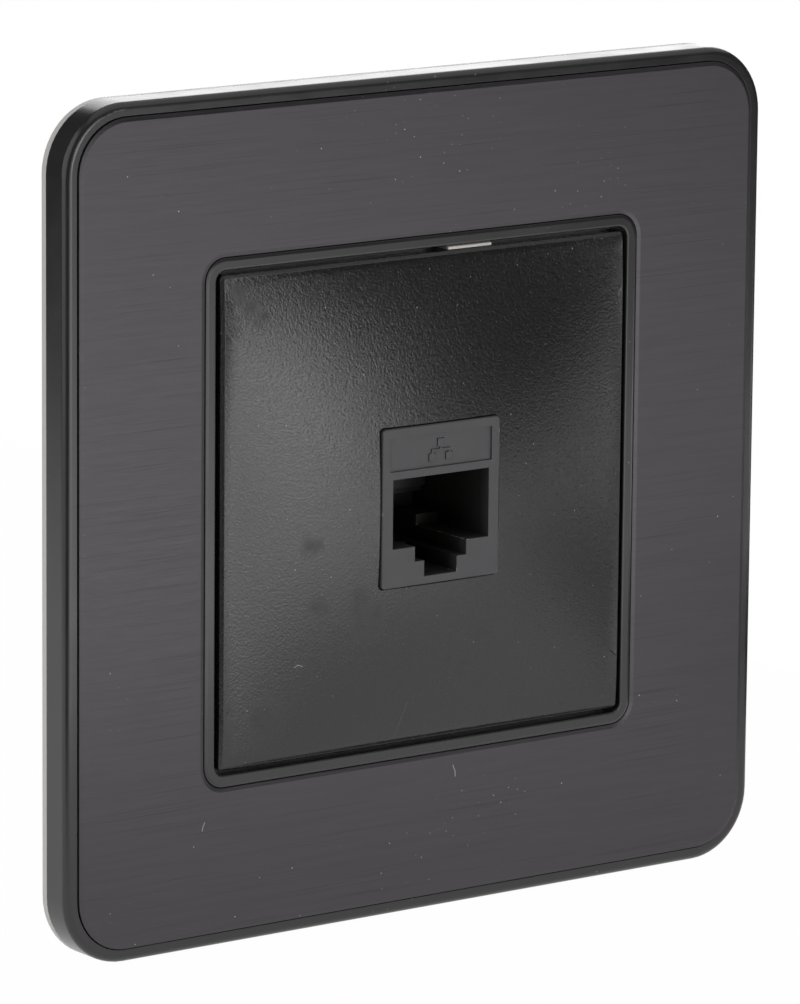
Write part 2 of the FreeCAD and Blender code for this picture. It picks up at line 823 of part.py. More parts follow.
def make_circuit_board():
    """Board across the housing's back with a hole for each contact and each blade."""
    body = new_body("circuit_board")
    board = at_depth(body, board_back)
    add_rectangle(board, board_width, board_height)
    pad(body, board, S.board_thickness)

    holes = at_depth(body, board_front)
    add_circle(holes, S.contact_hole,
               (row_places(CONTACT_COUNT, S.contact_pitch)[0], S.contact_level))
    contact_holes = pocket(body, holes)
    repeat_along_x(body, [contact_holes], CONTACT_COUNT, S.contact_pitch)

    tails = at_depth(body, board_front)
    first = row_places(TERMINALS_PER_ROW, S.terminal_pitch)[0]
    for end in (-1, 1):
        add_circle(tails, S.tail_hole, (first, end * S.row_spacing / 2))
    tail_holes = pocket(body, tails)
    repeat_along_x(body, [tail_holes], TERMINALS_PER_ROW, S.terminal_pitch)
    return body


def make_terminal_block():
    """Rear moulding: two towers of wire slots, blade slots, and side arms that clip to the housing."""
    body = new_body("terminal_block")
    plate = at_depth(body, block_back)
    add_rectangle(plate, S.jack_width, S.block_height)
    pad(body, plate, S.block_thickness)

    solder = at_depth(body, board_back)
    add_rectangle(solder, board_width - S.solder_margin, board_height - S.solder_margin)
    pocket(body, solder, S.solder_recess)

    towers = at_depth(body, block_back)
    for end in (-1, 1):
        add_rectangle(towers, S.tower_width, S.tower_height, (0, end * S.row_spacing / 2))
    pad(body, towers, S.tower_length, backwards=True)

    first = row_places(TERMINALS_PER_ROW, S.terminal_pitch)[0]
    wires = at_depth(body, tower_back)
    add_rectangle(wires, S.wire_slot_width, S.row_spacing + 2 * S.tower_height, (first, 0))
    wire_cut = pocket(body, wires, S.wire_slot_depth, from_behind=True)
    repeat_along_x(body, [wire_cut], TERMINALS_PER_ROW, S.terminal_pitch)

    blades = at_depth(body, board_back)
    for end in (-1, 1):
        add_rectangle(blades, S.blade_width + 2 * S.blade_gap, S.blade_thickness + 2 * S.blade_gap,
                      (first, end * S.row_spacing / 2))
    blade_cut = pocket(body, blades)
    repeat_along_x(body, [blade_cut], TERMINALS_PER_ROW, S.terminal_pitch)

    side = S.jack_width / 2
    inner = side + S.arm_gap
    outer = inner + S.arm_thickness
    root, back = behind_face(board_back), behind_face(block_back)
    end = behind_face(S.boss_depth - S.boss_length / 2 - S.arm_overlap)
    arm = sketch_on(body, "XY_Plane")
    add_polygon(arm, [(side, back), (outer, back), (outer, end), (inner, end), (inner, root),
                      (side, root)])
    arm_pad = pad(body, arm, S.arm_width, symmetric=True)
    repeat_round_y(body, [arm_pad], 2)

    windows = sketch_on(body, "YZ_Plane")
    add_rectangle(windows, S.boss_length + 2 * S.arm_gap, S.boss_width + 2 * S.arm_gap,
                  (behind_face(S.boss_depth), 0))
    pocket(body, windows, S.plate_size, symmetric=True)
    return body


def make_idc_blade(number, place, level):
    """Flat blade with a tail for the board and a fork that opens to the rear."""
    body = new_body(f"idc_blade_{number}")
    wide, tail, gap, mouth = (S.blade_width / 2, S.blade_tail_width / 2,
                              S.fork_gap / 2, S.fork_mouth / 2)
    foot = behind_face(board_front + S.carrier_gap)
    shoulder = behind_face(board_back + S.solder_recess)
    tip = behind_face(tower_back - S.blade_sink)
    lead = tip - (S.fork_mouth - S.fork_gap)
    crotch = tip - S.fork_depth
    outline = sketch_on(body, "XY_Plane")
    add_polygon(outline, [
        (-tail, foot), (tail, foot), (tail, shoulder), (wide, shoulder), (wide, tip), (mouth, tip),
        (gap, lead), (gap, crotch), (-gap, crotch), (-gap, lead), (-mouth, tip), (-wide, tip),
        (-wide, shoulder), (-tail, shoulder)])
    pad(body, outline, S.blade_thickness, symmetric=True)
    body.setExpression("Placement.Base.x", place.text)
    body.setExpression("Placement.Base.z", level.text)
    DOC.recompute()
    return body


def make_wire_cap(name, level):
    """Cap over one row of wires, with notches for the wires and pads that press them home."""
    body = new_body(name)
    inside_width = S.tower_width + 2 * S.cap_gap
    inside_height = S.tower_height + 2 * S.cap_gap
    roof = tower_back + S.cap_gap
    back = roof + S.cap_roof
    shell = at_depth(body, back)
    add_rectangle(shell, inside_width + 2 * S.cap_wall, inside_height + 2 * S.cap_wall)
    pad(body, shell, S.cap_length)
    hollow = at_depth(body, back - S.cap_length)
    add_rectangle(hollow, inside_width, inside_height)
    pocket(body, hollow, S.cap_length - S.cap_roof)

    first = row_places(TERMINALS_PER_ROW, S.terminal_pitch)[0]
    mouth = behind_face(back - S.cap_length)
    notch = sketch_on(body, "XY_Plane")
    add_rectangle(notch, S.cap_notch_width, S.cap_notch_depth * 2, (first, mouth))
    notch_cut = pocket(body, notch, S.plate_size, symmetric=True)
    repeat_along_x(body, [notch_cut], TERMINALS_PER_ROW, S.terminal_pitch)

    stuffer = at_depth(body, roof)
    for end in (-1, 1):
        add_rectangle(stuffer, S.stuffer_width, S.stuffer_height, (first, end * S.stuffer_centre))
    stuffer_pad = pad(body, stuffer, S.stuffer_length)
    repeat_along_x(body, [stuffer_pad], TERMINALS_PER_ROW, S.terminal_pitch)
    body.setExpression("Placement.Base.z", level.text)
    DOC.recompute()
    return body


def make_all():
    """Every piece of the socket."""
    pieces = [make_cover_frame(), make_brushed_panel(), make_mounting_base(), make_insert(),
              make_jack_housing(), make_contact_carrier(), make_circuit_board(),
              make_terminal_block()]
    for number, place in enumerate(row_places(CONTACT_COUNT, S.contact_pitch), start=1):
        pieces.append(make_contact(number, place))
    rows = (S.row_spacing / 2, -S.row_spacing / 2)
    number = 1
    for level in rows:
        for place in row_places(TERMINALS_PER_ROW, S.terminal_pitch):
            pieces.append(make_idc_blade(number, place, level))
            number += 1
    for name, level in zip(("wire_cap_upper", "wire_cap_lower"), rows):
        pieces.append(make_wire_cap(name, level))
    return pieces


def check(pieces):
    """Stop if any object failed to compute or any piece isn't one valid solid."""
    failed = [item.Name for item in DOC.Objects if {"Invalid", "Error"} & set(item.State)]
    if failed:
        raise RuntimeError(f"objects failed to compute: {failed}")
    for piece in pieces:
        shape = piece.Shape
        if shape.isNull() or not shape.isValid() or len(shape.Solids) != 1:
            raise RuntimeError(f"{piece.Label} is not one valid solid")


def main():
    pieces = make_all()
    DOC.recompute()
    check(pieces)
    os.makedirs("parts", exist_ok=True)
    for piece in pieces:
        piece.Shape.exportStep(f"parts/{piece.Label}.step")
        print(f"{piece.Label}: {piece.Shape.Volume:.1f} mm3")


main()
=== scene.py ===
"""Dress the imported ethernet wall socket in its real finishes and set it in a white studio.

Lengths are in metres in the frame's axes: X right, Z up, the plate faces -Y and the wall is y = 0.
"""
import math

import bmesh
import bpy
from bpy.props import FloatProperty, FloatVectorProperty, IntProperty, PointerProperty
from bpy.types import Operator, Panel, PropertyGroup
from mathutils import Matrix, Vector


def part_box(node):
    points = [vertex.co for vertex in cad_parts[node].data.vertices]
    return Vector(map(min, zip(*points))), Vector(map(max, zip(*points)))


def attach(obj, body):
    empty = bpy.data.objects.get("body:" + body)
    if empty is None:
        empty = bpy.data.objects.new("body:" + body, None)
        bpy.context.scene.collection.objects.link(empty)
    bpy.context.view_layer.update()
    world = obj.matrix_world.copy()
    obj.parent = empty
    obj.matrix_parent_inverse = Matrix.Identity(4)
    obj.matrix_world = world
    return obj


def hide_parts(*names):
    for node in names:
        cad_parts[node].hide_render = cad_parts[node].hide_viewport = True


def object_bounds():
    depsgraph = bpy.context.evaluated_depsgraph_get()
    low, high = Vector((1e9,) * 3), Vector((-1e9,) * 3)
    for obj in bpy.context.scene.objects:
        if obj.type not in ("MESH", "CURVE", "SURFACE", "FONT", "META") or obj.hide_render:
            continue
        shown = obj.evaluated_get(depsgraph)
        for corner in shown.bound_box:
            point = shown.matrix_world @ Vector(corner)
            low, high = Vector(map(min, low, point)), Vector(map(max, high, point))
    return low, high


bl_info = {
    "name": "Ethernet wall socket",
    "version": (1, 0, 0),
    "blender": (4, 5, 0),
    "location": "3D View > Sidebar > Socket",
    "description": "Finishes, soft crown, small pieces and studio for an ethernet wall socket",
    "category": "Object",
}

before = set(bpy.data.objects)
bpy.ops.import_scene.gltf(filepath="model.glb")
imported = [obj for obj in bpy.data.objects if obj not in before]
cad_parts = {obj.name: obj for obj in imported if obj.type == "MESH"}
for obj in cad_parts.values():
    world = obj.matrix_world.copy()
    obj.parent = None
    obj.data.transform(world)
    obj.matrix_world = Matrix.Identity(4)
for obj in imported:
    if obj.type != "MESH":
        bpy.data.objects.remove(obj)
CAD_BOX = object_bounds()
MM = 0.001
IMAGE_SIZE = (800, 1004)
SENSOR = 36.0

CONTACTS = [f"contact_{number}" for number in range(1, 9)]
BLADES = [f"idc_blade_{number}" for number in range(1, 9)]

ABS_IOR = 1.53
POLYCARBONATE_IOR = 1.58
LACQUER_IOR = 1.5

# Corners closer than this are one corner
WELD = 0.001 * MM
SHARP_ANGLE = math.radians(20)

# Studio cards on the floor: middle and size, right and away from the viewer
CARDS = {
    "front_card": ((0.05, -0.19), (0.3, 0.18)),
    "far_card": ((0.075, -0.44), (0.35, 0.32)),
    "right_card": ((0.25, -0.1), (0.14, 0.16)),
}
CARD_LIFT = 1 * MM
# Studio lamps: place and side length
LAMPS = {
    "front_lamp": ((0.0, -1.0, 0.09), 0.35),
    "low_lamp": ((0.284, -0.959, 0.035), 0.25),
    "left_lamp": ((-0.5, 0.05, 0.2), 0.7),
    "upper_lamp": ((0.3, -0.1, 0.8), 1.3),
    "back_lamp": ((0.9, 1.2, 0.45), 1.1),
}
# Outline of the white paper under the socket, right and away from the viewer
PAPER = [(-0.1, -0.6), (0.1, -0.6), (0.1, 0.3), (-0.2, 0.3), (-0.2, -0.03), (-0.1, -0.03)]


def linear(hex_colour):
    """An sRGB hex colour as linear red, green and blue."""
    channels = [int(hex_colour[i:i + 2], 16) / 255 for i in (1, 3, 5)]
    return [c / 12.92 if c <= 0.04045 else ((c + 0.055) / 1.055) ** 2.4 for c in channels]


def colour(name, hex_colour, description):
    """A colour that the user can change."""
    return FloatVectorProperty(name=name, description=description, subtype="COLOR", size=3,
                               min=0, max=1, default=linear(hex_colour))


def length(name, millimetres, description):
    """A length that the user can change."""
    return FloatProperty(name=name, description=description, unit="LENGTH",
                         default=millimetres * MM)


def strength(name, radiance, description):
    """A lamp's radiance that the user can change."""
    return FloatProperty(name=name, description=description, min=0, default=radiance)


class FinishSettings(PropertyGroup):
    """Colours and grain sizes of the socket's materials."""
    frame_colour: colour("Frame", "#2B2B2C", "Polished frame round the panel")
    panel_dark: colour("Panel, dark streaks", "#4A484B", "Anodised sheet between the brush lines")
    panel_light: colour("Panel, light streaks", "#504D50", "Anodised sheet on the brush lines")
    streak_pitch: length("Streak pitch", 0.13, "Distance between brush lines on the panel")
    streak_length: length("Streak length", 4, "Usual length of one brush line")
    base_colour: colour("Base", "#D6D2CF", "Plain moulding against the wall")
    insert_colour: colour("Insert", "#1D1D1E", "Grained centre plate")
    grain_size: length("Insert grain", 0.24, "Width of the pits on the insert")
    jack_colour: colour("Jack", "#38383B", "Satin jack housing")
    # Own colour of the carrier, terminal block and caps; the port's darkening towards it is painted
    # shade
    inner_and_port_shade_colour: colour("Inner mouldings", "#111112", "Carrier, terminal block, caps and port")
    gold_colour: colour("Contacts", "#E0B768", "Gold plating of the spring contacts")
    tin_colour: colour("Blades", "#BDBAB2", "Tin plating of the forked blades")
    board_colour: colour("Board", "#1F5A3C", "Solder mask of the circuit board")
    dust_colour: colour("Dust", "#D8D5D0", "Specks of dust on the front")
    dust_size: length("Dust speck", 0.075, "Radius of the largest specks")
    lint_width: length("Lint", 0.05, "Half the width of a hair of lint")
    # Also the colour of the darker streak at the insert's upper-left corner
    smudge_colour: colour("Smudges", "#161516", "Finger marks on the insert")


class SymbolSettings(PropertyGroup):
    """Sizes of the raised network symbol in the jack's label window."""
    centre_height: length("Centre height", 5.44, "Height of the symbol above the jack's middle")
    box_size: length("Box", 0.85, "Side of each of the three boxes")
    box_spread: length("Spread", 1.05, "Distance of the lower boxes from the middle")
    stroke: length("Stroke", 0.26, "Width of the joining lines")
    gap: length("Gap", 0.62, "Height between the upper and lower boxes")
    sink: length("Window depth", 0.2, "Depth of the label window's floor behind the jack's face")
    rise: length("Rise", 0.13, "Height of the symbol above the window's floor")
    edge: length("Edge", 0.04, "Round of the symbol's edges")


class CatchSettings(PropertyGroup):
    """Sizes of the base's catch above the insert."""
    start: length("Start", 2.8, "Left end of the catch, right of the plate's middle")
    width: length("Width", 5.4, "Length of the catch along the insert's upper edge")
    clearance: length("Clearance", 0.04, "Gap between the insert and the catch")
    thickness: length("Thickness", 0.38, "Thickness of the catch")
    root: length("Root", 1.6, "Height of the base's deck, where the catch stands")
    reach: length("Reach", 4.4, "Height of the catch's nose above the wall")
    slope: length("Slope", 0.3, "Depth of the slope on the nose")
    edge: length("Edge", 0.05, "Round of the catch's edges")


class CrownSettings(PropertyGroup):
    """Form of the insert's crown."""
    rise: length("Rise", 2.6, "Depth of the crown's foot behind the insert's foremost edge")
    height: length("Height", 2.81, "Height that the pillow would reach in the middle of the jack")
    mesh_size: length("Mesh size", 1.5, "Edge length of the crown's mesh")
    passes: IntProperty(name="Passes", description="Times that the crown's mesh is divided",
                        default=6)


class StageSettings(PropertyGroup):
    """Camera, paper, cards and lamps of the studio."""
    azimuth: FloatProperty(name="Azimuth", description="Camera's turn from straight ahead",
                           subtype="ANGLE", default=math.radians(-36.173))
    elevation: FloatProperty(name="Elevation", description="Camera's height as an angle",
                             subtype="ANGLE", default=math.radians(11.625))
    roll: FloatProperty(name="Roll", description="Camera's turn about its own line of sight",
                        subtype="ANGLE", default=math.radians(0.527))
    distance: length("Distance", 696.55, "Camera to the point it looks at")
    target: FloatVectorProperty(name="Target", description="Point that the camera looks at",
                                subtype="TRANSLATION", size=3,
                                default=(-2.781 * MM, -4.2 * MM, -0.182 * MM))
    focal_pixels: FloatProperty(name="Focal length", description="In pixels of the image",
                                default=6922.2)
    floor_colour: colour("Floor", "#F2F2F1", "White paper under the socket")
    whiteness: FloatProperty(name="Whiteness", subtype="FACTOR", default=0.985, min=0, max=1,
                             description="Share of the paper that is plain white to the eye")
    room_light: strength("Room light", 0.02, "Radiance of the dim room")
    front_card: strength("Front card", 1.45, "Radiance of the card in front")
    far_card: strength("Far card", 1.4, "Radiance of the card farther in front")
    right_card: strength("Right card", 1.8, "Radiance of the card at the right")
    front_lamp: strength("Front lamp", 1.25, "Radiance of the lamp straight in front")
    low_lamp: strength("Low lamp", 7.2, "Radiance of the low lamp at the front right")
    left_lamp: strength("Left lamp", 1.25, "Radiance of the lamp at the left")
    upper_lamp: strength("Upper lamp", 0.72, "Radiance of the broad lamp above")
    back_lamp: strength("Back lamp", 2.3, "Radiance of the lamp behind")


# Marks on the front, in millimetres right and up from the plate's middle: spots have a reach too
SMUDGES = [
    (-8.7, -11.3, 3.4), (-9.3, -9.1, 2.0), (-14.4, -9.2, 2.0), (-15.1, -3.0, 1.8),
    (5.7, -14.5, 1.8), (1.7, -16.2, 1.6), (3.4, -17.7, 2.0), (1.2, -21.5, 1.4), (-19.9, -20.5, 3.4),
    # The last three make a darker, duller streak running in from the insert's upper-left corner
    (-22.9, 23.0, 1.3), (-21.7, 21.7, 1.4), (-20.5, 20.3, 1.2),
]
DUST_SPOTS = [
    (-0.1, -36.1, 5.0), (5.6, -33.8, 4.5), (11.3, -31.9, 4.5), (-3.0, -42.0, 6.0),
    (23.2, 29.4, 4.5), (16.8, 26.3, 6.0), (2.0, -19.4, 2.4), (0.0, 42.0, 14.0), (27.0, 2.0, 4.0),
]
WORN_SPOTS = [
    (-7.1, 8.0, 0.5), (-7.3, -0.5, 0.35), (7.1, -8.0, 0.5), (2.1, -7.1, 0.45), (7.3, 6.6, 0.4),
    (3.3, -4.1, 0.4),
]
PANEL_LINT = [
    ((-26.7, -30.0), (-26.9, -30.4)), ((-26.9, -30.4), (-27.0, -30.8)),
    ((4.0, -28.3), (4.3, -29.0)), ((4.3, -29.0), (4.3, -29.5)),
]
INSERT_LINT = [((-16.7, -15.2), (-16.3, -15.0)), ((-16.3, -15.0), (-15.8, -15.2))]
INSERT_SCRATCHES = [((-2.6, -20.6), (-3.7, -24.1))]


# Materials

def add_node(tree, kind, inputs=None, **options):
    """Add a node, set its options, and fill its inputs with values or links."""
    node = tree.nodes.new(kind)
    for name, value in options.items():
        setattr(node, name, value)
    for name, value in (inputs or {}).items():
        socket = node.inputs[name]
        if isinstance(value, bpy.types.NodeSocket):
            tree.links.new(value, socket)
        else:
            socket.default_value = value
    return node


def new_material(name):
    """An empty node material and its tree."""
    material = bpy.data.materials.new(name)
    material.use_nodes = True
    material.node_tree.nodes.clear()
    return material, material.node_tree


def finish_material(tree, inputs):
    """Close a material with one surface shader."""
    shader = add_node(tree, "ShaderNodeBsdfPrincipled", inputs)
    add_node(tree, "ShaderNodeOutputMaterial", {"Surface": shader.outputs["BSDF"]})


def rgba(values):
    """A colour with full cover."""
    return (*values, 1.0)


def stretched(tree, across, along, high):
    """Object coordinates in units of a pattern's width in X, depth in Y and height in Z."""
    place = add_node(tree, "ShaderNodeTexCoord")
    scaled = add_node(tree, "ShaderNodeMapping", {
        "Vector": place.outputs["Object"], "Scale": (1 / across, 1 / along, 1 / high)})
    return scaled.outputs["Vector"]


def even(tree, size):
    """Object coordinates in units of a pattern's size."""
    return stretched(tree, size, size, size)


def front_plane(tree):
    """Object coordinates seen from the front: right and up, in metres."""
    place = add_node(tree, "ShaderNodeTexCoord")
    axes = add_node(tree, "ShaderNodeSeparateXYZ", {"Vector": place.outputs["Object"]})
    plane = add_node(tree, "ShaderNodeCombineXYZ", {
        "X": axes.outputs["X"], "Y": axes.outputs["Z"]})
    return plane.outputs["Vector"]


def maths(tree, operation, *values):
    """The result of one operation on numbers."""
    node = add_node(tree, "ShaderNodeMath", dict(enumerate(values)), operation=operation)
    return node.outputs["Value"]


def noise(tree, coordinates, low, high, detail=3.0, roughness=0.55):
    """A noise value spread over a range, from the values that most of the texture lies between."""
    usual_low, usual_high = 0.3, 0.7
    texture = add_node(tree, "ShaderNodeTexNoise", {
        "Vector": coordinates, "Scale": 1.0, "Detail": detail, "Roughness": roughness})
    spread = add_node(tree, "ShaderNodeMapRange", {
        "Value": texture.outputs["Fac"], "From Min": usual_low, "From Max": usual_high,
        "To Min": low, "To Max": high})
    return spread.outputs["Result"]


def blend_colours(tree, factor, first, second):
    """The first colour where the factor is 0, the second where it is 1."""
    mix = add_node(tree, "ShaderNodeMix", {0: factor, 6: first, 7: second}, data_type="RGBA")
    return mix.outputs[2]


def near_places(tree, plane, places):
    """1 in the middle of each place listed, falling to 0 at its reach."""
    core = 0.2
    mask = 0.0
    for right, up, reach in places:
        away = add_node(tree, "ShaderNodeVectorMath", {
            0: plane, 1: (right * MM, up * MM, 0)}, operation="DISTANCE")
        spot = add_node(tree, "ShaderNodeMapRange", {
            "Value": away.outputs["Value"], "From Min": core * reach * MM, "From Max": reach * MM,
            "To Min": 1.0, "To Max": 0.0}, interpolation_type="SMOOTHSTEP")
        mask = maths(tree, "MAXIMUM", mask, spot.outputs["Result"])
    return mask


def near_lines(tree, plane, lines, half_width):
    """1 on each of the straight lines listed, 0 beside them."""
    mask = 0.0
    for start, end in lines:
        along = Vector((*end, 0)) * MM - Vector((*start, 0)) * MM
        offset = add_node(tree, "ShaderNodeVectorMath", {
            0: plane, 1: Vector((*start, 0)) * MM}, operation="SUBTRACT")
        ahead = add_node(tree, "ShaderNodeVectorMath", {
            0: offset.outputs["Vector"], 1: along / along.length_squared}, operation="DOT_PRODUCT")
        share = add_node(tree, "ShaderNodeClamp", {"Value": ahead.outputs["Value"]})
        foot = add_node(tree, "ShaderNodeVectorMath", {
            0: along, "Scale": share.outputs["Result"]}, operation="SCALE")
        away = add_node(tree, "ShaderNodeVectorMath", {
            0: offset.outputs["Vector"], 1: foot.outputs["Vector"]}, operation="DISTANCE")
        on_line = maths(tree, "LESS_THAN", away.outputs["Value"], half_width)
        mask = maths(tree, "MAXIMUM", mask, on_line)
    return mask


def facing_front(tree):
    """1 on faces turned to the front, 0 on walls, where a mark seen from the front would smear."""
    front_limit = -0.6
    surface = add_node(tree, "ShaderNodeNewGeometry")
    axes = add_node(tree, "ShaderNodeSeparateXYZ", {"Vector": surface.outputs["True Normal"]})
    return maths(tree, "LESS_THAN", axes.outputs["Y"], front_limit)


def dust(tree, finish, share):
    """A mask of dust: a share of a grid's cells holds a speck each, more near the spots listed."""
    spacing = 1.0 * MM
    smallest = 0.4 * finish.dust_size
    extra_near_spots = 0.4
    faintest, span, steepness = 0.05, 0.6, 2.5
    plane = front_plane(tree)
    cells = add_node(tree, "ShaderNodeTexVoronoi", {"Vector": plane, "Scale": 1 / spacing},
                     voronoi_dimensions="2D")
    lot = add_node(tree, "ShaderNodeSeparateColor", {"Color": cells.outputs["Color"]})
    reach = add_node(tree, "ShaderNodeMapRange", {
        "Value": lot.outputs["Green"], "To Min": smallest / spacing,
        "To Max": finish.dust_size / spacing})
    near = maths(tree, "LESS_THAN", cells.outputs["Distance"], reach.outputs["Result"])
    thick = maths(tree, "MULTIPLY_ADD", near_places(tree, plane, DUST_SPOTS),
                  extra_near_spots, share)
    kept = maths(tree, "LESS_THAN", lot.outputs["Red"], thick)
    mostly_faint = maths(tree, "POWER", lot.outputs["Blue"], steepness)
    faint = maths(tree, "MULTIPLY_ADD", mostly_faint, span, faintest)
    shown = maths(tree, "MULTIPLY", maths(tree, "MULTIPLY", near, kept), faint)
    return maths(tree, "MULTIPLY", shown, facing_front(tree))


def soft_edges(tree, radius):
    """Normals that roll round the edges, as a mould's do."""
    edges = add_node(tree, "ShaderNodeBevel", {"Radius": radius}, samples=6)
    return edges.outputs["Normal"]


def bump(tree, height, depth, normal):
    """A surface relief of a real depth."""
    relief = add_node(tree, "ShaderNodeBump", {
        "Height": height, "Distance": depth, "Strength": 1.0, "Normal": normal})
    return relief.outputs["Normal"]


def polished_abs(finish):
    """Black ABS from a polished mould: a clear sheen, a faint ripple and some dust."""
    material, tree = new_material("polished_black_abs")
    ripple = noise(tree, even(tree, 2.5 * MM), 0, 1, detail=1)
    specks = dust(tree, finish, 0.01)
    finish_material(tree, {
        "Base Color": blend_colours(tree, specks, rgba(finish.frame_colour),
                                    rgba(finish.dust_colour)),
        "Roughness": noise(tree, even(tree, 6 * MM), 0.2, 0.28),
        "IOR": ABS_IOR,
        "Normal": bump(tree, ripple, 0.0015 * MM, soft_edges(tree, 0.12 * MM)),
    })
    return material


def brushed_anodised(finish):
    """Anodised aluminium, brushed along X before it was dyed: fine streaks and a soft sheen."""
    material, tree = new_material("brushed_anodised_aluminium")
    lint_cover, score_cover, score_shade = 0.35, 0.5, 0.75
    fine = stretched(tree, finish.streak_length, finish.streak_length, finish.streak_pitch)
    broad = stretched(tree, 3 * finish.streak_length, finish.streak_length,
                      5 * finish.streak_pitch)
    streaks = noise(tree, fine, 0, 1, detail=2)
    bands = noise(tree, broad, 0, 1, detail=2)
    half = maths(tree, "MULTIPLY", maths(tree, "ADD", streaks, bands), 0.5)
    brushed = blend_colours(tree, half, rgba(finish.panel_dark), rgba(finish.panel_light))
    long = stretched(tree, 5 * finish.streak_length, finish.streak_length, finish.streak_pitch)
    scores = add_node(tree, "ShaderNodeMapRange", {
        "Value": noise(tree, long, 0, 1, detail=1), "From Min": 0.8, "From Max": 1.0,
        "To Min": 0.0, "To Max": score_cover})
    scored = rgba([score_shade * channel for channel in finish.panel_dark])
    sheet = blend_colours(tree, scores.outputs["Result"], brushed, scored)
    lint = near_lines(tree, front_plane(tree), PANEL_LINT, finish.lint_width)
    specks = maths(tree, "MAXIMUM", dust(tree, finish, 0.02),
                   maths(tree, "MULTIPLY", lint, lint_cover))
    metal = add_node(tree, "ShaderNodeMapRange", {"Value": specks, "To Min": 1.0, "To Max": 0.0})
    finish_material(tree, {
        "Base Color": blend_colours(tree, specks, sheet, rgba(finish.dust_colour)),
        "Metallic": metal.outputs["Result"],
        "Roughness": noise(tree, fine, 0.4, 0.5, detail=2),
        "Anisotropic": 0.4,
        "Normal": bump(tree, streaks, 0.002 * MM, soft_edges(tree, 0.1 * MM)),
    })
    return material


def plain_moulding(name, base_colour, roughness, grain):
    """ABS, nylon or polycarbonate from a plain mould: even, dull, with a fine grain."""
    material, tree = new_material(name)
    shade = noise(tree, even(tree, 5 * MM), 0, 0.12)
    darker = [0.8 * channel for channel in base_colour]
    pits = noise(tree, even(tree, grain), 0, 1)
    finish_material(tree, {
        "Base Color": blend_colours(tree, shade, rgba(base_colour), rgba(darker)),
        "Roughness": noise(tree, even(tree, 3 * MM), roughness - 0.05, roughness + 0.05),
        "IOR": ABS_IOR,
        "Normal": bump(tree, pits, 0.004 * MM, soft_edges(tree, 0.08 * MM)),
    })
    return material


def smudge_mask(tree):
    """A mask of finger marks and of a darker streak at the insert's upper-left corner: ragged spots
    at the places listed.
    """
    ragged = add_node(tree, "ShaderNodeTexNoise", {
        "Vector": even(tree, 2.2 * MM), "Scale": 1.0, "Detail": 4.0})
    push = 3 * MM
    pushed = add_node(tree, "ShaderNodeVectorMath", {
        0: ragged.outputs["Color"], 1: (push, push, 0), 2: (-push / 2, -push / 2, 0)},
        operation="MULTIPLY_ADD")
    moved = add_node(tree, "ShaderNodeVectorMath", {
        0: front_plane(tree), 1: pushed.outputs["Vector"]}, operation="ADD")
    mask = near_places(tree, moved.outputs["Vector"], SMUDGES)
    return maths(tree, "MULTIPLY", mask, noise(tree, even(tree, 0.9 * MM), 0.3, 1.0))


def grained_abs(finish):
    """Black ABS from a spark-eroded mould: a fine pitted grain that glitters, with finger marks and
    a darker, duller streak at the upper-left corner.
    """
    material, tree = new_material("spark_grained_black_abs")
    lint_cover, scratch_cover = 0.4, 0.06
    smudge_cover, smudge_dulling = 0.8, 0.28
    pits = noise(tree, even(tree, finish.grain_size), 0, 1, detail=2, roughness=0.6)
    marks = smudge_mask(tree)
    plane = front_plane(tree)
    lint = maths(tree, "MULTIPLY", near_lines(tree, plane, INSERT_LINT, finish.lint_width),
                 lint_cover)
    scratch = maths(tree, "MULTIPLY",
                    near_lines(tree, plane, INSERT_SCRATCHES, finish.lint_width), scratch_cover)
    specks = maths(tree, "MAXIMUM", dust(tree, finish, 0.05), maths(tree, "MAXIMUM", lint, scratch))
    worn = blend_colours(tree, maths(tree, "MULTIPLY", marks, smudge_cover),
                         rgba(finish.insert_colour), rgba(finish.smudge_colour))
    rough = noise(tree, even(tree, finish.grain_size), 0.20, 0.28, detail=2)
    finish_material(tree, {
        "Base Color": blend_colours(tree, specks, worn, rgba(finish.dust_colour)),
        "Roughness": maths(tree, "MULTIPLY_ADD", marks, smudge_dulling, rough),
        "IOR": ABS_IOR,
        "Normal": bump(tree, pits, 0.014 * MM, soft_edges(tree, 0.15 * MM)),
    })
    return material


